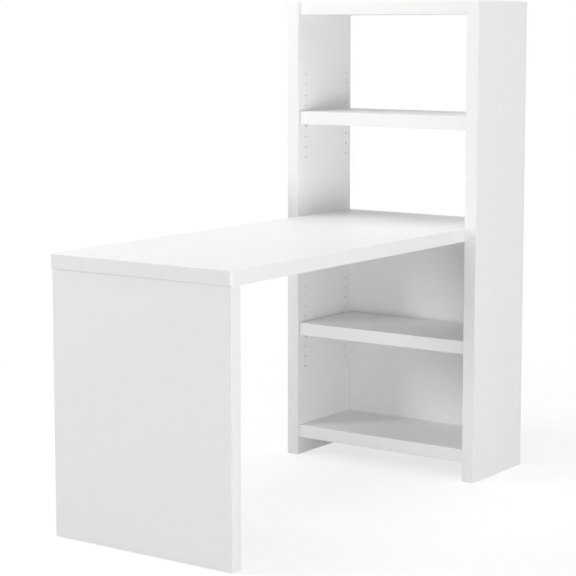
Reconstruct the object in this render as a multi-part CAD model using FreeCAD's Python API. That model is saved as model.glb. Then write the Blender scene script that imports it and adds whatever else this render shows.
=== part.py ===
"""Bookcase desk: an open bookcase whose desktop runs on forwards to a slab leg.

Frame: X runs across the bookcase, Y from the desk's free end to the bookcase's back, Z up.
The origin is on the floor, at the middle of the overall width and length. Lengths are in millimetres.
"""
import FreeCAD
import Part
import os
from math import sqrt

# Boards and the carcass
BOARD = 39.0  # thickness of every board, faces included
CASE_WIDTH = 670.0  # over both sides
CASE_DEPTH = 295.0  # front edge to rear edge of a side
DESK_REACH = 1130.0  # desktop in front of the bookcase
BAY_HEIGHT = 621.0  # clear height below the desktop, and again above it
TOE_GAP = 54.0  # under the bottom shelf, above the sides' lower ends
FOOT_GAP = 2.0  # boards stand this far off the floor with the levellers screwed right in
SETBACK = 8.0  # shelves behind the front edges of the sides
SHELF_PLAY = 1.5  # loose shelf to side, at each end
SHELF_REAR_PLAY = 3.0  # loose shelf to the rear edges
LEG_INSET = 4.5  # leg inside the desktop's outline, on three sides
DESK_CORNER = 10.0  # radius of the desktop's two free corners
BAND = 2.0  # edge band thickness
BAND_FLAT = 0.2  # least flat of a band beside its rounding
ARRIS = 1.5  # rounding of a banded edge
FIT = 0.05  # radial clearance of a peg or screw in its hole

# Back sheet behind the lower bay, and its nails
BACK = 3.0
BACK_INSET = 6.0  # inside the outline that it covers
NAIL_RADIUS = 0.8
NAIL_LENGTH = 22.0
NAIL_HEAD_RADIUS = 2.4
NAIL_HEAD = 0.8
NAIL_POINT = 2.4
NAIL_EDGE = 40.0  # first and last nail of a row, from the end of the sheet
SIDE_NAILS = 5
CROSS_NAILS = 3

# Columns of shelf pin holes in the inner faces of the sides, centred in the height of each bay
PIN_RADIUS = 2.5
PIN_PITCH = 32.0
PIN_ROWS = 9
PIN_FRONT = 42.0  # front column, from the front edge
PIN_REAR = 27.0  # rear column, from the rear edge
PIN_ROWS_BELOW = 3  # free rows below the one that carries the loose shelf
PIN_PLUG = 9.0
PIN_SPARE = 2.0  # hole beyond a pin's plug
PIN_RISE = 8.0  # seat of a pin above its hole
PIN_DROP = 4.0  # lower end of a pin below its hole
PIN_LEDGE = 12.0  # how far the seat stands out
PIN_WALL = 2.5
PIN_WIDTH = 7.0

# Cam fittings: a bolt screwed into one board is drawn in by a cam turned in the other
CAM_RADIUS = 7.5
CAM_SETBACK = 34.0  # cam centre from the joint
CAM_BELOW = 5.0  # cam beyond the bolt's axis
CAM_SINK = 1.5  # cam below the face it is let into
CAM_KEY_LENGTH = 9.0
CAM_KEY_WIDTH = 1.6
CAM_KEY_DEPTH = 4.0
BOLT_THREAD_RADIUS = 2.5
BOLT_THREAD = 12.0
BOLT_COLLAR_RADIUS = 3.9
BOLT_COLLAR = 3.0
BOLT_SHANK_RADIUS = 2.6
BOLT_NECK_RADIUS = 1.8
BOLT_NECK = 5.0
BOLT_HEAD_RADIUS = 3.2
BOLT_HEAD = 5.0
BOLT_PLAY = 0.1  # bolt collar in its hole
CAM_ROOM = 0.6  # between a bolt and the hollow of its cam
CAM_EDGE = 45.0  # cam from the front or rear end of its joint
CAP_LIP = 2.0  # cap beyond the cam's hole
CAP_FLANGE = 1.0
DOWEL_RADIUS = 4.0
DOWEL_LENGTH = 40.0
DOWEL_CHAMFER = 1.0
DOWEL_STEP = 45.0  # dowel from the cam beside it
DOWEL_SPARE = 0.5  # hole beyond each end of a dowel
LEG_CAM_EDGE = 60.0  # outer cams of the leg, from its ends
LEG_CAMS = 4

# Levellers: a stud turns in a threaded insert and carries a pad that stands on the floor
PAD_RADIUS = 10.0
PAD_HEIGHT = 5.0
PAD_ROUND = 1.2
SOCKET_RADIUS = 3.0
SOCKET_DEPTH = 2.5
HEX_FLATS = 13.0
HEX_HEIGHT = 3.0
HEX_PLAY = 0.5  # collar to insert with the leveller screwed right in
STUD_RADIUS = 4.0
STUD_LENGTH = 28.0
STUD_CHAMFER = 0.8
STUD_ROOM = 0.5  # round the stud, above the insert
INSERT_WALL = 1.5
INSERT_LENGTH = 25.0
INSERT_LIP = 2.5  # flange beyond the insert's wall
INSERT_FLANGE = 1.5
STUD_SPARE = 4.0  # hole above the stud's end
RECESS_ROOM = 2.0  # round the pad
CASE_LEVELLER_EDGE = 45.0  # from the front and rear edges of a side
LEG_LEVELLER_EDGE = 50.0  # from the ends of the leg

# Places worked out from the sizes above
X = FreeCAD.Vector(1, 0, 0)
Y = FreeCAD.Vector(0, 1, 0)
Z = FreeCAD.Vector(0, 0, 1)
SIDE_OUT = CASE_WIDTH / 2
SIDE_IN = SIDE_OUT - BOARD
SIDE_MID = SIDE_OUT - BOARD / 2
DESK_END = -(DESK_REACH + CASE_DEPTH + BACK + NAIL_HEAD) / 2
CASE_FRONT = DESK_END + DESK_REACH
CASE_REAR = CASE_FRONT + CASE_DEPTH
BOTTOM_LOW = FOOT_GAP + TOE_GAP
BOTTOM_TOP = BOTTOM_LOW + BOARD
DESK_LOW = BOTTOM_TOP + BAY_HEIGHT
DESK_TOP = DESK_LOW + BOARD
CASE_TOP_LOW = DESK_TOP + BAY_HEIGHT
CASE_TOP = CASE_TOP_LOW + BOARD
LEG_HALF = SIDE_IN - LEG_INSET
LEG_FACE = DESK_END + LEG_INSET
LEG_REAR = LEG_FACE + BOARD
LEG_MID = LEG_FACE + BOARD / 2
INSERT_RADIUS = STUD_RADIUS + INSERT_WALL
RECESS_DEPTH = PAD_HEIGHT + HEX_HEIGHT + HEX_PLAY + INSERT_FLANGE - FOOT_GAP
BOLT_TIP = CAM_SETBACK + BOLT_HEAD / 2
ROUND = min(ARRIS, BAND - BAND_FLAT)
SNAP = 1e-6  # two places closer than this are one
BAYS = {"upper": DESK_TOP, "lower": BOTTOM_TOP}
SIDES = {"left": -1, "right": 1}


def block(low, high):
    """A box between two opposite corners."""
    size = FreeCAD.Vector(*high) - FreeCAD.Vector(*low)
    return Part.makeBox(size.x, size.y, size.z, FreeCAD.Vector(*low))


def rod(start, direction, radius, length):
    return Part.makeCylinder(radius, length, FreeCAD.Vector(*start), direction)


def turned(points):
    """A solid turned about X from (x, radius) points."""
    outline = [(points[0][0], 0.0), *points, (points[-1][0], 0.0)]
    corners = [FreeCAD.Vector(x, radius, 0) for x, radius in outline]
    face = Part.Face(Part.makePolygon([*corners, corners[0]]))
    return face.revolve(FreeCAD.Vector(), X, 360)


def seat(shape, origin, along, outward):
    """A copy of a shape made on X and Z, with its X put along one direction and its Z outward."""
    turn = FreeCAD.Rotation(along, outward.cross(along), outward, "ZXY")
    placed = shape.copy()
    placed.Placement = FreeCAD.Placement(FreeCAD.Vector(*origin), turn)
    return placed


def spread(low, high, count):
    """Evenly spaced places from low to high."""
    return [low + (high - low) * k / (count - 1) for k in range(count)]


def between(places):
    """Places half way between neighbours."""
    return [(a + b) / 2 for a, b in zip(places, places[1:])]


def lies_at(edge, axis, level):
    """Whether an edge lies wholly at one level of an axis, 0 to 2 for X to Z."""
    return all(abs(vertex.Point[axis] - level) < SNAP for vertex in edge.Vertexes)


def edges_at(shape, axis, level):
    return [edge for edge in shape.Edges if lies_at(edge, axis, level)]


def banded_board(low, high, banded, raw):
    """A board and its edge bands. An end is (axis, side), with side 0 for the low end and 1 for the high one.

    The edges of the banded ends are rounded, except where they meet a raw end.
    """
    corners = (low, high)

    def on(edge, ends):
        return any(lies_at(edge, axis, corners[side][axis]) for axis, side in ends)

    board = block(low, high)
    board = board.makeFillet(ROUND, [edge for edge in board.Edges if on(edge, banded) and not on(edge, raw)])
    strips = []
    for axis, side in banded:
        strip_low, strip_high = list(low), list(high)
        if side:
            strip_low[axis] = high[axis] - BAND
        else:
            strip_high[axis] = low[axis] + BAND
        strip = block(strip_low, strip_high)
        strips.append(board.common(strip))
        board = board.cut(strip)
    return board, strips


# Fasteners, each made on X with the joint at zero and the cam's board on the positive side


def cam_bolt():
    neck_start = CAM_SETBACK - BOLT_HEAD / 2 - BOLT_NECK
    return turned([
        (-BOLT_THREAD, BOLT_THREAD_RADIUS),
        (0, BOLT_THREAD_RADIUS),
        (0, BOLT_COLLAR_RADIUS),
        (BOLT_COLLAR, BOLT_COLLAR_RADIUS),
        (BOLT_COLLAR, BOLT_SHANK_RADIUS),
        (neck_start, BOLT_SHANK_RADIUS),
        (neck_start, BOLT_NECK_RADIUS),
        (neck_start + BOLT_NECK, BOLT_NECK_RADIUS),
        (neck_start + BOLT_NECK, BOLT_HEAD_RADIUS),
        (BOLT_TIP - BOLT_HEAD_RADIUS + BOLT_NECK_RADIUS, BOLT_HEAD_RADIUS),
        (BOLT_TIP, BOLT_NECK_RADIUS),
    ])


def cam_lock():
    top = BOARD / 2 - CAM_SINK
    centre = (CAM_SETBACK, 0, -CAM_BELOW)
    cam = rod(centre, Z, CAM_RADIUS - FIT, top + CAM_BELOW)
    edge = CAM_SETBACK - CAM_RADIUS
    head_room = rod((CAM_SETBACK - BOLT_HEAD / 2 - CAM_ROOM, 0, 0), X, BOLT_HEAD_RADIUS + CAM_ROOM,
                    BOLT_HEAD + 2 * CAM_ROOM)
    neck_room = rod((edge, 0, 0), X, BOLT_SHANK_RADIUS + CAM_ROOM, CAM_RADIUS)
    key = [(CAM_KEY_LENGTH, CAM_KEY_WIDTH), (CAM_KEY_WIDTH, CAM_KEY_LENGTH)]
    cross = [
        block((CAM_SETBACK - a / 2, -b / 2, top - CAM_KEY_DEPTH), (CAM_SETBACK + a / 2, b / 2, top))
        for a, b in key
    ]
    return cam.cut([head_room, neck_room, *cross])


def cam_cap():
    face = BOARD / 2
    plug = rod((CAM_SETBACK, 0, face - CAM_SINK), Z, CAM_RADIUS - FIT, CAM_SINK)
    flange = rod((CAM_SETBACK, 0, face), Z, CAM_RADIUS + CAP_LIP, CAP_FLANGE)
    rim = edges_at(flange, 2, face + CAP_FLANGE)
    return plug.fuse(flange.makeFillet(CAP_FLANGE / 2, rim)).removeSplitter()


def dowel():
    half = DOWEL_LENGTH / 2
    small = DOWEL_RADIUS - DOWEL_CHAMFER
    return turned([
        (-half, small),
        (DOWEL_CHAMFER - half, DOWEL_RADIUS),
        (half - DOWEL_CHAMFER, DOWEL_RADIUS),
        (half, small),
    ])


def cam_holes():
    """What a cam fitting takes out of both boards."""
    return [
        rod((-BOLT_THREAD, 0, 0), X, BOLT_THREAD_RADIUS + FIT, BOLT_THREAD),
        rod((0, 0, 0), X, BOLT_COLLAR_RADIUS + BOLT_PLAY, CAM_SETBACK),
        rod((CAM_SETBACK, 0, -CAM_BELOW), Z, CAM_RADIUS, BOARD / 2 + CAM_BELOW),
    ]


def dowel_hole():
    reach = DOWEL_LENGTH / 2 + DOWEL_SPARE
    return rod((-reach, 0, 0), X, DOWEL_RADIUS + FIT, 2 * reach)


class Joint:
    """Cams, bolts, dowels and caps along one seam, and the holes that they need."""

    def __init__(self):
        self.bolts, self.cams, self.caps, self.dowels, self.holes = [], [], [], [], []

    def add_cam(self, origin, along, outward):
        self.bolts.append(seat(cam_bolt(), origin, along, outward))
        self.cams.append(seat(cam_lock(), origin, along, outward))
        self.caps.append(seat(cam_cap(), origin, along, outward))
        self.holes += [seat(hole, origin, along, outward) for hole in cam_holes()]

    def add_dowel(self, origin, along, outward):
        self.dowels.append(seat(dowel(), origin, along, outward))
        self.holes.append(seat(dowel_hole(), origin, along, outward))


def cross_joint(level, front):
    """Both ends of a fixed board between the sides, with its middle at a level and cams in its underside."""
    joint = Joint()
    cam_places = (front + CAM_EDGE, CASE_REAR - CAM_EDGE)
    dowel_places = (cam_places[0] + DOWEL_STEP, cam_places[1] - DOWEL_STEP)
    for hand in SIDES.values():
        for place in cam_places:
            joint.add_cam((hand * SIDE_IN, place, level), X * -hand, -Z)
        for place in dowel_places:
            joint.add_dowel((hand * SIDE_IN, place, level), X * -hand, -Z)
    return joint


def leg_joint():
    """The leg's upper end under the desktop, with cams in the leg's knee side."""
    joint = Joint()
    cam_places = spread(LEG_CAM_EDGE - LEG_HALF, LEG_HALF - LEG_CAM_EDGE, LEG_CAMS)
    for place in cam_places:
        joint.add_cam((place, LEG_MID, DESK_LOW), -Z, Y)
    for place in between(cam_places):
        joint.add_dowel((place, LEG_MID, DESK_LOW), -Z, Y)
    return joint


# Levellers, made on X with the floor at zero


def leveller_pad():
    pad = rod((0, 0, 0), X, PAD_RADIUS, PAD_HEIGHT)
    pad = pad.makeFillet(PAD_ROUND, edges_at(pad, 0, 0) + edges_at(pad, 0, PAD_HEIGHT))
    return pad.cut(rod((PAD_HEIGHT - SOCKET_DEPTH, 0, 0), X, SOCKET_RADIUS + FIT, SOCKET_DEPTH))


def leveller_stud():
    hex_top = PAD_HEIGHT + HEX_HEIGHT
    tip = rod((PAD_HEIGHT - SOCKET_DEPTH, 0, 0), X, SOCKET_RADIUS, SOCKET_DEPTH)
    corner = HEX_FLATS / sqrt(3)
    flats = [(corner, 0), (corner / 2, HEX_FLATS / 2), (-corner / 2, HEX_FLATS / 2)]
    flats += [(-a, -b) for a, b in flats]
    points = [FreeCAD.Vector(PAD_HEIGHT, a, b) for a, b in [*flats, flats[0]]]
    collar = Part.Face(Part.makePolygon(points)).extrude(X * HEX_HEIGHT)
    shank = turned([
        (hex_top, STUD_RADIUS),
        (hex_top + STUD_LENGTH - STUD_CHAMFER, STUD_RADIUS),
        (hex_top + STUD_LENGTH, STUD_RADIUS - STUD_CHAMFER),
    ])
    return tip.fuse([collar, shank]).removeSplitter()


def leveller_insert():
    seat_level = FOOT_GAP + RECESS_DEPTH
    flange = rod((seat_level - INSERT_FLANGE, 0, 0), X, INSERT_RADIUS + INSERT_LIP, INSERT_FLANGE)
    sleeve = rod((seat_level, 0, 0), X, INSERT_RADIUS - FIT, INSERT_LENGTH)
    thread = rod((seat_level - INSERT_FLANGE, 0, 0), X, STUD_RADIUS + FIT, INSERT_FLANGE + INSERT_LENGTH)
    return flange.fuse(sleeve).removeSplitter().cut(thread)


def leveller_holes():
    seat_level = FOOT_GAP + RECESS_DEPTH
    stud_end = PAD_HEIGHT + HEX_HEIGHT + STUD_LENGTH
    stud_room = max(stud_end + STUD_SPARE - seat_level, INSERT_LENGTH)
    return [
        rod((FOOT_GAP, 0, 0), X, PAD_RADIUS + RECESS_ROOM, RECESS_DEPTH),
        rod((seat_level, 0, 0), X, INSERT_RADIUS, INSERT_LENGTH),
        rod((seat_level, 0, 0), X, STUD_RADIUS + STUD_ROOM, stud_room),
    ]


def leveller_places():
    places = {}
    for side, hand in SIDES.items():
        places[f"{side}_front"] = (hand * SIDE_MID, CASE_FRONT + CASE_LEVELLER_EDGE, 0)
        places[f"{side}_rear"] = (hand * SIDE_MID, CASE_REAR - CASE_LEVELLER_EDGE, 0)
        places[f"leg_{side}"] = (hand * (LEG_HALF - LEG_LEVELLER_EDGE), LEG_MID, 0)
    return places


# Shelf pins and the rows of holes that they plug into


def shelf_pin():
    """Made with its hole's mouth at the origin, plug along -X and seat along +X."""
    plug = rod((-PIN_PLUG, 0, 0), X, PIN_RADIUS - FIT, PIN_PLUG)
    throat = min(PIN_LEDGE, PIN_RISE + PIN_DROP) - PIN_WALL
    arc_centre = FreeCAD.Vector(PIN_WALL + throat, 0, PIN_RISE - PIN_WALL - throat)
    foot = FreeCAD.Vector(PIN_WALL, 0, -PIN_DROP)
    heel = FreeCAD.Vector(PIN_WALL, 0, arc_centre.z)
    toe = FreeCAD.Vector(arc_centre.x, 0, PIN_RISE - PIN_WALL)
    bend = arc_centre + FreeCAD.Vector(-throat, 0, throat) / sqrt(2)
    corners = [toe, FreeCAD.Vector(PIN_LEDGE, 0, PIN_RISE - PIN_WALL), FreeCAD.Vector(PIN_LEDGE, 0, PIN_RISE),
               FreeCAD.Vector(0, 0, PIN_RISE), FreeCAD.Vector(0, 0, -PIN_DROP), foot, heel]
    runs = [Part.LineSegment(a, b).toShape() for a, b in zip(corners, corners[1:]) if (a - b).Length > SNAP]
    outline = Part.Wire([*runs, Part.Arc(heel, bend, toe).toShape()])
    bracket = Part.Face(outline).extrude(Y * PIN_WIDTH)
    bracket.translate(Y * (-PIN_WIDTH / 2))
    return bracket.fuse(plug).removeSplitter()


def pin_columns():
    return (CASE_FRONT + PIN_FRONT, CASE_REAR - PIN_REAR)


def pin_height(bay_floor, row):
    return bay_floor + BAY_HEIGHT / 2 + PIN_PITCH * (row - (PIN_ROWS - 1) / 2)


def shelf_pins(bay_floor):
    """The four pins under one loose shelf."""
    height = pin_height(bay_floor, PIN_ROWS_BELOW)
    return [
        seat(shelf_pin(), (hand * SIDE_IN, column, height), X * -hand, Z)
        for hand in SIDES.values() for column in pin_columns()
    ]


def pin_holes(hand):
    return [
        rod((hand * SIDE_IN, column, pin_height(floor, row)), X * hand, PIN_RADIUS, PIN_PLUG + PIN_SPARE)
        for floor in BAYS.values() for column in pin_columns() for row in range(PIN_ROWS)
    ]


# Back sheet


def nail():
    """Made with the sheet's outer face at zero and the point along +X."""
    return turned([
        (-NAIL_HEAD, NAIL_HEAD_RADIUS),
        (0, NAIL_HEAD_RADIUS),
        (0, NAIL_RADIUS),
        (NAIL_LENGTH - NAIL_POINT, NAIL_RADIUS),
        (NAIL_LENGTH, NAIL_RADIUS / 4),
    ])


def nail_places():
    low, high = BOTTOM_LOW + BACK_INSET + NAIL_EDGE, DESK_TOP - BACK_INSET - NAIL_EDGE
    places = [(hand * SIDE_MID, z) for hand in SIDES.values() for z in spread(low, high, SIDE_NAILS)]
    across = spread(-SIDE_IN, SIDE_IN, CROSS_NAILS + 2)[1:-1]
    places += [(x, z) for x in across for z in (BOTTOM_LOW + BOARD / 2, DESK_LOW + BOARD / 2)]
    return [(x, CASE_REAR + BACK, z) for x, z in places]


def back_panel(nail_rods):
    sheet = block((BACK_INSET - SIDE_OUT, CASE_REAR, BOTTOM_LOW + BACK_INSET),
                  (SIDE_OUT - BACK_INSET, CASE_REAR + BACK, DESK_TOP - BACK_INSET))
    return sheet.cut(nail_rods)


# Boards


def desktop():
    def rounded(inset, radius):
        """The desktop drawn in on its three free sides, with its two free corners rounded."""
        half, end = SIDE_IN - inset, DESK_END + inset
        slab = block((-half, end, DESK_LOW), (half, CASE_REAR, DESK_TOP))
        free = edges_at(slab, 1, end)
        corners = [edge for edge in free if lies_at(edge, 0, -half) or lies_at(edge, 0, half)]
        return slab.makeFillet(radius, corners)

    outer = rounded(0, DESK_CORNER)
    outer = outer.makeFillet(ROUND, edges_at(outer, 2, DESK_LOW) + edges_at(outer, 2, DESK_TOP))
    rear_strip = block((-SIDE_IN, CASE_REAR - BAND, DESK_LOW), (SIDE_IN, CASE_REAR, DESK_TOP))
    rear = outer.common(rear_strip)
    outer = outer.cut(rear_strip)
    core = rounded(BAND, DESK_CORNER - BAND)
    return outer.common(core), [outer.cut(core), rear]


def side_panel(hand):
    x_places = sorted((hand * SIDE_IN, hand * SIDE_OUT))
    low, high = (x_places[0], CASE_FRONT, FOOT_GAP), (x_places[1], CASE_REAR, CASE_TOP)
    return banded_board(low, high, banded=[(1, 0), (1, 1), (2, 1)], raw=[(2, 0)])


def cross_board(level, front, rear, half_length, banded):
    low, high = (-half_length, front, level), (half_length, rear, level + BOARD)
    return banded_board(low, high, banded=banded, raw=[(0, 0), (0, 1)])


def leg_panel():
    low, high = (-LEG_HALF, LEG_FACE, FOOT_GAP), (LEG_HALF, LEG_REAR, DESK_LOW)
    return banded_board(low, high, banded=[(0, 0), (0, 1), (2, 1)], raw=[(2, 0)])


def drilled(pieces, holes):
    return [piece.cut(holes) for piece in pieces]


def build():
    front_edge, rear_edge = (1, 0), (1, 1)
    shelf_front = CASE_FRONT + SETBACK
    top_joint = cross_joint(CASE_TOP_LOW + BOARD / 2, shelf_front)
    desk_joint = cross_joint(DESK_LOW + BOARD / 2, shelf_front)
    bottom_joint = cross_joint(BOTTOM_LOW + BOARD / 2, shelf_front)
    end_joint = leg_joint()
    nails = [seat(nail(), place, -Y, Z) for place in nail_places()]
    nail_rods = [rod(place, -Y, NAIL_RADIUS + FIT, NAIL_LENGTH) for place in nail_places()]
    levellers = leveller_places()
    leveller_rods = [seat(hole, place, Z, Y) for place in levellers.values() for hole in leveller_holes()]
    case_holes = top_joint.holes + desk_joint.holes + bottom_joint.holes + nail_rods + leveller_rods
    nodes = {}

    for side, hand in SIDES.items():
        board, bands = side_panel(hand)
        holes = case_holes + pin_holes(hand)
        nodes[f"{side}_side_panel"] = drilled([board], holes)
        nodes[f"{side}_side_edge_bands"] = drilled(bands, nail_rods)

    board, bands = desktop()
    desk_holes = desk_joint.holes + end_joint.holes + nail_rods
    nodes["desktop"] = drilled([board], desk_holes)
    nodes["desktop_edge_bands"] = drilled(bands, desk_holes)

    board, bands = cross_board(CASE_TOP_LOW, shelf_front, CASE_REAR, SIDE_IN, [front_edge, rear_edge])
    nodes["top_panel"] = drilled([board], top_joint.holes)
    nodes["top_panel_edge_bands"] = bands

    board, bands = cross_board(BOTTOM_LOW, shelf_front, CASE_REAR, SIDE_IN, [front_edge])
    nodes["bottom_shelf"] = drilled([board], bottom_joint.holes + nail_rods)
    nodes["bottom_shelf_edge_band"] = bands

    board, bands = leg_panel()
    nodes["leg_panel"] = drilled([board], end_joint.holes + leveller_rods)
    nodes["leg_panel_edge_bands"] = drilled(bands, end_joint.holes)

    for name, floor in BAYS.items():
        level = pin_height(floor, PIN_ROWS_BELOW) + PIN_RISE
        board, bands = cross_board(level, shelf_front, CASE_REAR - SHELF_REAR_PLAY, SIDE_IN - SHELF_PLAY,
                                   [front_edge, rear_edge])
        nodes[f"{name}_shelf"] = [board]
        nodes[f"{name}_shelf_edge_bands"] = bands
        nodes[f"{name}_shelf_pins"] = shelf_pins(floor)

    nodes["back_panel"] = [back_panel(nail_rods)]
    nodes["back_panel_nails"] = nails

    joints = {"top": top_joint, "desktop": desk_joint, "bottom": bottom_joint, "leg": end_joint}
    for name, joint in joints.items():
        nodes[f"{name}_cam_locks"] = joint.cams
        nodes[f"{name}_cam_bolts"] = joint.bolts
        nodes[f"{name}_dowels"] = joint.dowels
    nodes["cam_caps"] = [cap for joint in joints.values() for cap in joint.caps]

    nodes["leveller_inserts"] = [seat(leveller_insert(), place, Z, Y) for place in levellers.values()]
    for name, place in levellers.items():
        nodes[f"leveller_pad_{name}"] = [seat(leveller_pad(), place, Z, Y)]
        nodes[f"leveller_stud_{name}"] = [seat(leveller_stud(), place, Z, Y)]
    return nodes


def export(nodes):
    os.makedirs("parts", exist_ok=True)
    for name, pieces in nodes.items():
        solids = [solid for piece in pieces for solid in piece.Solids]
        shape = solids[0] if len(solids) == 1 else Part.makeCompound(solids)
        shape.exportStep(f"parts/{name}.step")
        box = shape.BoundBox
        print(f"{name}: {len(solids)} solids, valid {shape.isValid()}, "
              f"{box.XLength:.1f} x {box.YLength:.1f} x {box.ZLength:.1f} mm")


export(build())
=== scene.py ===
"""Looks of a white bookcase desk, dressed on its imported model. Lengths are in metres."""
import math

import bpy
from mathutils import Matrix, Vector


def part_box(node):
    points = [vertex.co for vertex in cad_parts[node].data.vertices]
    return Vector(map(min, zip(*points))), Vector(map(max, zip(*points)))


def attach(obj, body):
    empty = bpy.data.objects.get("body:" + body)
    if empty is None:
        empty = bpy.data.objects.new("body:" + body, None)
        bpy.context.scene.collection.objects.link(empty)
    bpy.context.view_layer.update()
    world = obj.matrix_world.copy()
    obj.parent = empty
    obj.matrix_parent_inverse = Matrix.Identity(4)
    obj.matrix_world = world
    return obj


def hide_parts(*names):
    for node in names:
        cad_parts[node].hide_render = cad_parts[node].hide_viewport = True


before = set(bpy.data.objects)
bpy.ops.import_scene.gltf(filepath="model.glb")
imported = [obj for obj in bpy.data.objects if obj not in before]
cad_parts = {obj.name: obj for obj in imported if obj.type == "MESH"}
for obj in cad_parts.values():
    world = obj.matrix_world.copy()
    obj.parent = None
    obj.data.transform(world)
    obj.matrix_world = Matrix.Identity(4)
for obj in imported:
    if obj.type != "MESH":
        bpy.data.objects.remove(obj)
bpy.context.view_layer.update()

# Camera
# A long lens looks down on the desk's free end and its right hand side, from a little below the top of
# the bookcase. The slight shift of the lens keeps the upright edges nearly parallel.
PICTURE_SIDE = 576  # pixels
FOCAL_LENGTH = 1824.6  # pixels
SENSOR_WIDTH = 36.0  # millimetres
LENS_SHIFT = -0.08  # shares of the picture's side
CAMERA_PLACE = (2.926, -4.2042, 1.3428)
CAMERA_PITCH = math.radians(6.755)
CAMERA_TURN = math.radians(35.207)

camera_lens = bpy.data.cameras.new("camera")
camera_lens.sensor_width = SENSOR_WIDTH
camera_lens.lens = SENSOR_WIDTH * FOCAL_LENGTH / PICTURE_SIDE
camera_lens.shift_y = LENS_SHIFT
camera = bpy.data.objects.new("camera", camera_lens)
camera.location = CAMERA_PLACE
camera.rotation_euler = (math.pi / 2 - CAMERA_PITCH, 0, CAMERA_TURN)
bpy.context.scene.collection.objects.link(camera)
bpy.context.scene.camera = camera


# Boards: the two sides, the top, the desktop, the bottom shelf, the leg and the two loose shelves
# Each is particle board between two sheets of satin white laminate, sawn to size and drilled. Its chips are
# bare where a saw or a drill went through: in the pin holes, at the raw lower ends and under the bands.
BOARDS = ("left_side_panel", "right_side_panel", "top_panel", "desktop", "bottom_shelf", "leg_panel",
          "upper_shelf", "lower_shelf")
LAMINATE_WHITE = (0.90, 0.90, 0.90)
LAMINATE_DRIFT = 0.006  # share by which the white drifts from patch to patch
LAMINATE_PATCH = 0.05
LAMINATE_DEPTH = 0.0003
SQUARE_ON = 0.7  # share of the surface's normal across the board, past which a face is a broad one
SATIN_PATCH = 0.02
SATIN_ROUGHNESS = (0.40, 0.47)
RAW_ROUGHER = 0.45  # what raw chips add to the laminate's roughness
PEARL_SIZE = 0.0009  # grain that the press plates leave in the laminate
PEARL_DEPTH = 0.00002
CHIP_LENGTH = 0.004
CHIP_THICKNESS = 0.0009
CHIP_RELIEF = 0.00012
CHIP_COLOURS = ((0.40, 0.37, 0.33), (0.58, 0.55, 0.51), (0.74, 0.71, 0.67))
NOISE_LOW = 0.25  # nearly all values of a noise lie between these two
NOISE_HIGH = 0.75


class NodeTree:
    """A tree of shader nodes, and short ways to add to it."""

    def __init__(self, tree):
        self.tree = tree

    def add(self, kind, inputs=None, **settings):
        node = self.tree.nodes.new(kind)
        for key, value in settings.items():
            setattr(node, key, value)
        for key, value in (inputs or {}).items():
            self.put(node.inputs[key], value)
        return node

    def put(self, socket, value):
        if isinstance(value, bpy.types.NodeSocket):
            self.tree.links.new(value, socket)
        elif socket.type == "RGBA":
            socket.default_value = (*value, 1)
        else:
            socket.default_value = value

    def math(self, operation, *values):
        return self.add("ShaderNodeMath", dict(enumerate(values)), operation=operation).outputs[0]


class Finish(NodeTree):
    """A material under construction: a Principled shader and the nodes that lead to it."""

    def __init__(self, name):
        self.material = bpy.data.materials.new(name)
        self.material.use_nodes = True
        super().__init__(self.material.node_tree)
        self.shader = self.tree.nodes["Principled BSDF"]
        self.place = self.add("ShaderNodeTexCoord").outputs["Object"]
        self.facing = self.place.node.outputs["Normal"]

    def along(self, vector, axis):
        return self.add("ShaderNodeSeparateXYZ", {0: vector}).outputs[axis]

    def grains(self, sizes):
        """Places measured in grains, which have their own size along each axis."""
        scale = [1 / size for size in sizes]
        return self.add("ShaderNodeMapping", {"Vector": self.place, "Scale": scale}).outputs[0]

    def noise(self, size, detail=3.0):
        """Noise with features of about that size, one number or one for each axis."""
        sizes = (size,) * 3 if isinstance(size, float) else size
        inputs = {"Vector": self.grains(sizes), "Scale": 1.0, "Detail": detail}
        return self.add("ShaderNodeTexNoise", inputs).outputs[0]

    def spread(self, noise, low, high):
        """Noise brought to a range of numbers."""
        inputs = {"Value": noise, "From Min": NOISE_LOW, "From Max": NOISE_HIGH,
                  "To Min": low, "To Max": high}
        return self.add("ShaderNodeMapRange", inputs).outputs[0]

    def ramp(self, value, colours):
        """Colours from the first at 0 to the last at 1, evenly spaced."""
        node = self.add("ShaderNodeValToRGB", {0: value})
        stops = node.color_ramp.elements
        while len(stops) < len(colours):
            stops.new(0.5)
        for k, colour in enumerate(colours):
            stops[k].position = k / (len(colours) - 1)
            stops[k].color = (*colour, 1)
        return node.outputs[0]

    def mix(self, share, first, second):
        """The first colour where the share is 0, and the second where it is 1."""
        colours = {0: share, 6: first, 7: second}  # the node's other sockets mix numbers and vectors
        return self.add("ShaderNodeMix", colours, data_type="RGBA").outputs[2]

    def tint(self, colour, drift, patch):
        """A colour that drifts lighter and darker, by that share, over patches of that size."""
        dark = [c * (1 - drift) for c in colour]
        light = [c * (1 + drift) for c in colour]
        return self.ramp(self.spread(self.noise(patch), low=0, high=1), (dark, light))

    def relief(self, height, depth):
        node = self.add("ShaderNodeBump", {"Height": height, "Distance": depth, "Strength": 1.0})
        self.put(self.shader.inputs["Normal"], node.outputs[0])

    def set(self, **sockets):
        for key, value in sockets.items():
            self.put(self.shader.inputs[key.replace("_", " ")], value)


def cover(finish, *nodes):
    for node in nodes:
        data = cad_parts[node].data
        data.materials.clear()
        data.materials.append(finish.material)


def thin_axis(board):
    """The axis across a board's thickness."""
    low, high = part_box(board)
    return min(range(3), key=lambda axis: high[axis] - low[axis])


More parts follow.
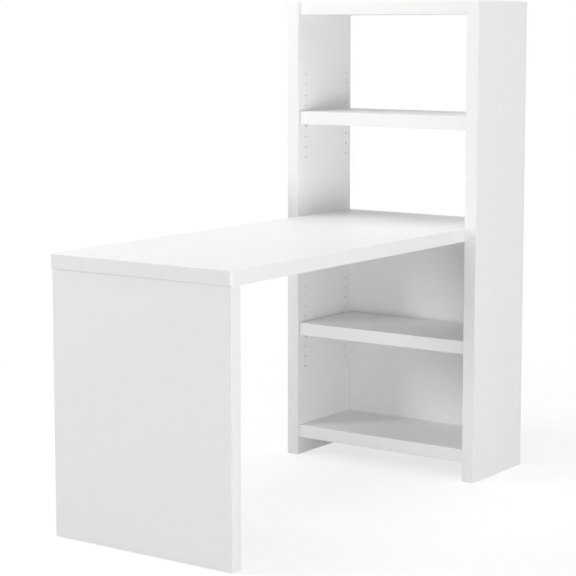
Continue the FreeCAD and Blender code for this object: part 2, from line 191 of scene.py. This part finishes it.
def on_broad_face(finish, board):
    """1 on a board's two broad faces, and 0 on its ends and in its holes."""
    axis = thin_axis(board)
    low, high = [corner[axis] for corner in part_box(board)]
    from_middle = finish.math("SUBTRACT", finish.along(finish.place, axis), (low + high) / 2)
    laminate_start = (high - low) / 2 - LAMINATE_DEPTH
    outside = finish.math("GREATER_THAN", finish.math("ABSOLUTE", from_middle), laminate_start)
    facing = finish.math("ABSOLUTE", finish.along(finish.facing, axis))
    return finish.math("MULTIPLY", outside, finish.math("GREATER_THAN", facing, SQUARE_ON))


def grain_sizes(axis, along, across):
    """Size of a grain on each axis: one size along the given axis, and another across it."""
    return [along if k == axis else across for k in range(3)]


def chip_shades(finish, board):
    """A shade from 0 to 1 for each chip, which lies flat in the board."""
    sizes = grain_sizes(thin_axis(board), along=CHIP_THICKNESS, across=CHIP_LENGTH)
    cells = finish.add("ShaderNodeTexVoronoi", {"Vector": finish.grains(sizes), "Scale": 1.0})
    return finish.along(cells.outputs["Color"], 0)


def laminate_on_chips(board):
    finish = Finish("laminate_" + board)
    laminated = on_broad_face(finish, board)
    raw = finish.math("SUBTRACT", 1.0, laminated)
    chip = chip_shades(finish, board)
    white = finish.tint(LAMINATE_WHITE, LAMINATE_DRIFT, LAMINATE_PATCH)
    satin = finish.spread(finish.noise(SATIN_PATCH), *SATIN_ROUGHNESS)
    pearl = finish.math("MULTIPLY", finish.noise(PEARL_SIZE, detail=2.0), PEARL_DEPTH / CHIP_RELIEF)
    chip_height = finish.math("MULTIPLY", chip, raw)
    finish.set(Base_Color=finish.mix(laminated, finish.ramp(chip, CHIP_COLOURS), white),
               Roughness=finish.math("MULTIPLY_ADD", raw, RAW_ROUGHER, satin))
    finish.relief(finish.math("MULTIPLY_ADD", pearl, laminated, chip_height), CHIP_RELIEF)
    return finish


for board in BOARDS:
    cover(laminate_on_chips(board), board)


# Edge bands: strips along every edge of a board that shows
# White plastic 2 mm thick, glued on hot, trimmed flush and rounded with a scraper along both sides. They
# are a touch glossier than the laminate, with the faint waves of the hot roller.
BANDS = ("left_side_edge_bands", "right_side_edge_bands", "top_panel_edge_bands", "desktop_edge_bands",
         "bottom_shelf_edge_band", "leg_panel_edge_bands", "upper_shelf_edge_bands",
         "lower_shelf_edge_bands")
BAND_WHITE = (0.88, 0.88, 0.88)
BAND_GRAIN = 0.0012
ROLLER_WAVE = 0.009
ROLLER_SHARE = 2.0  # height of the waves, in heights of the grain


def rolled_band():
    finish = Finish("rolled_band")
    grain = finish.noise(BAND_GRAIN, detail=2.0)
    waves = finish.math("MULTIPLY_ADD", finish.noise(ROLLER_WAVE), ROLLER_SHARE, grain)
    finish.set(Base_Color=finish.tint(BAND_WHITE, drift=0.005, patch=0.04),
               Roughness=finish.spread(finish.noise(size=0.012), low=0.36, high=0.43))
    finish.relief(waves, depth=0.000012)
    return finish


cover(rolled_band(), *BANDS)


# Joint fittings: cams, cam bolts and dowels in the ends of the boards, and the caps over the cams
# The cams are die cast zinc, turned to pull the heads of plated steel bolts. Beech dowels beside them keep
# the boards in line. A moulded white cap is pressed into each cam's hole.
JOINTS = ("top", "desktop", "bottom", "leg")
DOWEL_AXES = {"top": 0, "desktop": 0, "bottom": 0, "leg": 2}  # 0 across the desk, 2 upright
CAST_ZINC = (0.47, 0.47, 0.46)
PLATED_STEEL = (0.66, 0.67, 0.69)
CAP_WHITE = (0.87, 0.87, 0.865)
BEECH = ((0.46, 0.29, 0.16), (0.62, 0.43, 0.26), (0.73, 0.55, 0.37))
BEECH_FIBRE = 0.0007
BEECH_FIBRE_LENGTH = 0.018


def fine_grained(name, colour, drift, patch, sheen_patch, roughness, grain, depth, detail=3.0,
                 metallic=0.0):
    """One colour that drifts from patch to patch, a sheen that drifts too, and a fine grain over both."""
    finish = Finish(name)
    finish.set(Base_Color=finish.tint(colour, drift, patch), Metallic=metallic,
               Roughness=finish.spread(finish.noise(sheen_patch), *roughness))
    finish.relief(finish.noise(grain, detail), depth)
    return finish


def die_cast_zinc():
    finish = Finish("die_cast_zinc")
    skin = finish.noise(size=0.00035, detail=4.0)
    finish.set(Base_Color=finish.tint(CAST_ZINC, drift=0.10, patch=0.002), Metallic=1.0,
               Roughness=finish.spread(skin, low=0.42, high=0.58))
    finish.relief(skin, depth=0.00003)
    return finish


def beech_rod(axis):
    finish = Finish("beech_along_" + "xyz"[axis])
    fibre = finish.noise(grain_sizes(axis, along=BEECH_FIBRE_LENGTH, across=BEECH_FIBRE), detail=5.0)
    finish.set(Base_Color=finish.ramp(finish.spread(fibre, low=0, high=1), BEECH),
               Roughness=finish.spread(fibre, low=0.66, high=0.54))
    finish.relief(fibre, depth=0.00008)
    return finish


zinc_plate = fine_grained("plated_steel", PLATED_STEEL, drift=0.06, patch=0.003, sheen_patch=0.0015,
                          roughness=(0.24, 0.38), grain=0.0002, depth=0.000005, detail=2.0, metallic=1.0)
cap_plastic = fine_grained("moulded_cap", CAP_WHITE, drift=0.008, patch=0.006, sheen_patch=0.003,
                           roughness=(0.30, 0.38), grain=0.0005, depth=0.000015)
cover(die_cast_zinc(), *[joint + "_cam_locks" for joint in JOINTS])
cover(zinc_plate, *[joint + "_cam_bolts" for joint in JOINTS])
cover(cap_plastic, "cam_caps")
for joint in JOINTS:
    cover(beech_rod(DOWEL_AXES[joint]), joint + "_dowels")


# Back sheet: closes the lower half of the bookcase from behind
# Hard fibre board 3 mm thick with white paper foil on both faces and raw brown edges, held by wire nails
# with flat heads all round and along the shelf.
FOIL_WHITE = (0.88, 0.88, 0.88)
FOIL_GRAIN = 0.0006
FOIL_PEEL = 0.004
PEEL_SHARE = 2.0  # height of the orange peel in the foil, in heights of its grain
FOIL_SMOOTHER = -0.32  # what the foil adds to the raw board's roughness
FIBRE_SIZE = 0.0004
FIBRE_COLOURS = ((0.20, 0.12, 0.06), (0.36, 0.24, 0.14), (0.48, 0.34, 0.21))


def foil_on_fibre():
    finish = Finish("foil_on_fibre")
    foil = on_broad_face(finish, "back_panel")
    fibre = finish.spread(finish.noise(FIBRE_SIZE, detail=5.0), low=0, high=1)
    white = finish.tint(FOIL_WHITE, drift=0.008, patch=0.06)
    peel = finish.math("MULTIPLY_ADD", finish.noise(FOIL_PEEL), PEEL_SHARE, finish.noise(FOIL_GRAIN))
    raw_roughness = finish.spread(peel, low=0.82, high=0.88)
    finish.set(Base_Color=finish.mix(foil, finish.ramp(fibre, FIBRE_COLOURS), white),
               Roughness=finish.math("MULTIPLY_ADD", foil, FOIL_SMOOTHER, raw_roughness))
    finish.relief(peel, depth=0.000015)
    return finish


cover(foil_on_fibre(), "back_panel")
cover(zinc_plate, "back_panel_nails")


# Shelf pins: four under each loose shelf
# Turned and pressed steel with a satin nickel plate, pushed by hand into the row of holes that suits
# the shelf.
SATIN_NICKEL = (0.66, 0.655, 0.64)
PIN_AXIS = 0  # across the desk
POLISH_MARKS = grain_sizes(PIN_AXIS, along=0.004, across=0.00015)

nickel_plate = fine_grained("satin_nickel", SATIN_NICKEL, drift=0.05, patch=0.003, sheen_patch=0.001,
                            roughness=(0.24, 0.34), grain=POLISH_MARKS, depth=0.000006, detail=2.0,
                            metallic=1.0)
cover(nickel_plate, "upper_shelf_pins", "lower_shelf_pins")


# Levellers: six screw feet, two under each side of the bookcase and two under the leg
# A plated steel stud with a hexagon collar screws into a threaded insert in the board's raw lower end. Its
# tip is snapped into a moulded grey nylon pad. The thread and the bevelled collar are modelled here.
LEVELLERS = ("left_front", "left_rear", "right_front", "right_rear", "leg_left", "leg_right")
NYLON_GREY = (0.11, 0.11, 0.115)
TIP_RADIUS = 0.003
STUD_RADIUS = 0.004
STUD_BEVEL = 0.0008
COLLAR_HEIGHT = 0.003
COLLAR_BEVEL = 0.0005
COLLAR_FACE = 0.95  # the round face's share of the collar's width across its flats
THREAD_PITCH = 0.00125
THREAD_DEPTH = 0.0007
CREST = 0.125  # shares of the pitch
ROOT = 0.25
STUD_SIDES = 36  # a multiple of six, so that the collar's corners fall on it
STUD_ANGLES = [math.tau * k / STUD_SIDES for k in range(STUD_SIDES)]
RINGS_PER_TURN = 8
SHARP_EDGE = math.radians(35)


def circle(radius):
    return [radius] * STUD_SIDES


def hexagon(across_flats):
    """Distance from the axis at each angle, with a corner at angle zero."""
    sixth = math.pi / 3
    return [across_flats / 2 / math.cos(angle % sixth - sixth / 2) for angle in STUD_ANGLES]


def thread(height, angle, start, end):
    """Radius of the stud: full where the thread runs out at its start, and bevelled at its end."""
    phase = (height / THREAD_PITCH - angle / math.tau) % 1
    groove = (abs(phase - 0.5) - CREST / 2) / (0.5 - CREST / 2 - ROOT / 2)
    run_out = min((height - start) / THREAD_PITCH, 1)
    depth = THREAD_DEPTH * min(max(groove, 0), 1) * run_out
    return min(STUD_RADIUS - depth, STUD_RADIUS - STUD_BEVEL + end - height)


def stud_rings(tip, seat, end, across_flats):
    """Height and radii of each ring of points, from the tip in the pad to the stud's upper end."""
    collar_end = seat + COLLAR_HEIGHT
    collar = hexagon(across_flats)
    collar_face = circle(COLLAR_FACE * across_flats / 2)
    rings = [(tip, circle(TIP_RADIUS)), (seat, circle(TIP_RADIUS)), (seat, collar_face),
             (seat + COLLAR_BEVEL, collar), (collar_end - COLLAR_BEVEL, collar), (collar_end, collar_face)]
    steps = round((end - collar_end) / THREAD_PITCH * RINGS_PER_TURN)
    for k in range(steps + 1):
        height = collar_end + (end - collar_end) * k / steps
        rings.append((height, [thread(height, angle, collar_end, end) for angle in STUD_ANGLES]))
    return rings


def threaded_stud(rings):
    """A closed skin over the rings, about the stud's own upright axis."""
    points = [(radius * math.cos(angle), radius * math.sin(angle), height)
              for height, radii in rings for radius, angle in zip(radii, STUD_ANGLES)]
    faces = [tuple(reversed(range(STUD_SIDES))), tuple(range(len(points) - STUD_SIDES, len(points)))]
    for ring in range(len(rings) - 1):
        for k in range(STUD_SIDES):
            near = ring * STUD_SIDES + k
            beside = ring * STUD_SIDES + (k + 1) % STUD_SIDES
            faces.append((near, beside, beside + STUD_SIDES, near + STUD_SIDES))
    skin = bpy.data.meshes.new("threaded_stud")
    skin.from_pydata(points, [], faces)
    skin.shade_smooth()
    skin.set_sharp_from_angle(angle=SHARP_EDGE)
    skin.materials.append(zinc_plate.material)
    return skin


nylon = fine_grained("grey_nylon", NYLON_GREY, drift=0.10, patch=0.004, sheen_patch=0.002,
                     roughness=(0.44, 0.56), grain=0.0004, depth=0.00002)
cover(zinc_plate, "leveller_inserts")
cover(nylon, *["leveller_pad_" + name for name in LEVELLERS])
for name in LEVELLERS:
    low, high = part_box("leveller_stud_" + name)
    pad_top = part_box("leveller_pad_" + name)[1].z
    middle = (low + high) / 2
    skin = threaded_stud(stud_rings(low.z, pad_top, high.z, high.y - low.y))
    stud = bpy.data.objects.new("threaded_stud_" + name, skin)
    stud.location = (middle.x, middle.y, 0)
    bpy.context.scene.collection.objects.link(stud)
    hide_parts("leveller_stud_" + name)
    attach(stud, "leveller_stud_" + name)


# Floor and surround
# White studio paper under and around the desk. It shows as plain white, but near the desk it still takes a
# share of the shade, so that the shadow stays.
FLOOR_HALF = 30.0
FLOOR_DROP = 0.0002  # below the pads
PAPER_WHITE = (0.50, 0.50, 0.50)  # what the paper sends back of the light that falls on it
SHADOW_SHARE = 0.30
SHADOW_WHITE = (0.36, 0.36, 0.36)  # a little more than that share, so that lit paper stays white
SHADOW_NEAR = 1.0  # from the middle of the desk
SHADOW_FAR = 2.4
SKY_EVEN = 0.20  # light on the desk from all round


def seen_plainly(nodes):
    """1 for what is seen straight, in a gloss or through glass, and 0 for what only gives light."""
    rays = nodes.add("ShaderNodeLightPath").outputs
    first = nodes.math("MAXIMUM", rays["Is Camera Ray"], rays["Is Glossy Ray"])
    return nodes.math("MAXIMUM", first, rays["Is Transmission Ray"])


paper = Finish("studio_paper")
paper.set(Base_Color=paper.tint(PAPER_WHITE, drift=0.01, patch=0.4), Roughness=0.9, Specular_IOR_Level=0.0)
from_desk = paper.add("ShaderNodeVectorMath", {0: paper.place}, operation="LENGTH").outputs["Value"]
fade = {"Value": from_desk, "From Min": SHADOW_FAR, "From Max": SHADOW_NEAR}
near = paper.add("ShaderNodeMapRange", fade).outputs[0]
plain = paper.add("ShaderNodeEmission", {"Strength": paper.math("MULTIPLY_ADD", near, -SHADOW_SHARE, 1.0)})
shaded = paper.add("ShaderNodeBsdfDiffuse", {"Color": paper.mix(near, (0, 0, 0), SHADOW_WHITE)})
shown = paper.add("ShaderNodeAddShader", {0: plain.outputs[0], 1: shaded.outputs[0]})
either = {0: seen_plainly(paper), 1: paper.shader.outputs[0], 2: shown.outputs[0]}
surface = paper.add("ShaderNodeMixShader", either).outputs[0]
paper.put(paper.tree.nodes["Material Output"].inputs["Surface"], surface)

floor_sheet = bpy.data.meshes.new("floor")
corners = [(x * FLOOR_HALF, y * FLOOR_HALF, 0) for x, y in ((-1, -1), (1, -1), (1, 1), (-1, 1))]
floor_sheet.from_pydata(corners, [], [(0, 1, 2, 3)])
floor_sheet.materials.append(paper.material)
floor = bpy.data.objects.new("floor", floor_sheet)
floor.location.z = -FLOOR_DROP
bpy.context.scene.collection.objects.link(floor)

world = bpy.data.worlds.new("surround")
world.use_nodes = True
bpy.context.scene.world = world
sky = NodeTree(world.node_tree)
background = sky.tree.nodes["Background"].inputs
sky.put(background["Color"], (1, 1, 1))
sky.put(background["Strength"], sky.math("MULTIPLY_ADD", seen_plainly(sky), 1 - SKY_EVEN, SKY_EVEN))


# Lamps: seven soft boxes round and above the desk
# Those on the floor stay below the desktop's upper face, so that they light upright faces and not that one:
# two wide ones on the right and a small one behind on the left. The others light the tops as well.
DESK_MIDDLE = Vector((0, 0, 0.8))  # where each of them points
SOFT_BOXES = {  # place, width and height in metres, watts
    "right_front_floor_lamp": ((3.0, -4.5, 0.38), (4.0, 0.6), 80.0),
    "right_floor_lamp": ((4.6, -1.2, 0.38), (4.0, 0.6), 65.0),
    "right_high_lamp": ((3.8, 0.3, 4.0), (2.0, 2.0), 15.5),
    "right_rear_lamp": ((4.2, 2.2, 1.5), (2.5, 2.5), 29.0),
    "left_lamp": ((-3.0, -2.5, 2.2), (1.5, 1.5), 72.0),
    "left_rear_floor_lamp": ((-3.4, 3.2, 0.37), (0.7, 0.7), 80.0),
    "top_lamp": ((0.0, -0.2, 4.2), (3.0, 3.0), 77.5),
}
for name, (place, (width, height), watts) in SOFT_BOXES.items():
    soft_box = bpy.data.lights.new(name, "AREA")
    soft_box.shape = "RECTANGLE"
    soft_box.size = width
    soft_box.size_y = height
    soft_box.energy = watts
    lamp = bpy.data.objects.new(name, soft_box)
    lamp.location = place
    lamp.rotation_euler = (DESK_MIDDLE - lamp.location).to_track_quat("-Z", "Y").to_euler()
    lamp.visible_camera = False
    bpy.context.scene.collection.objects.link(lamp)

bpy.context.scene.view_settings.view_transform = "Standard"
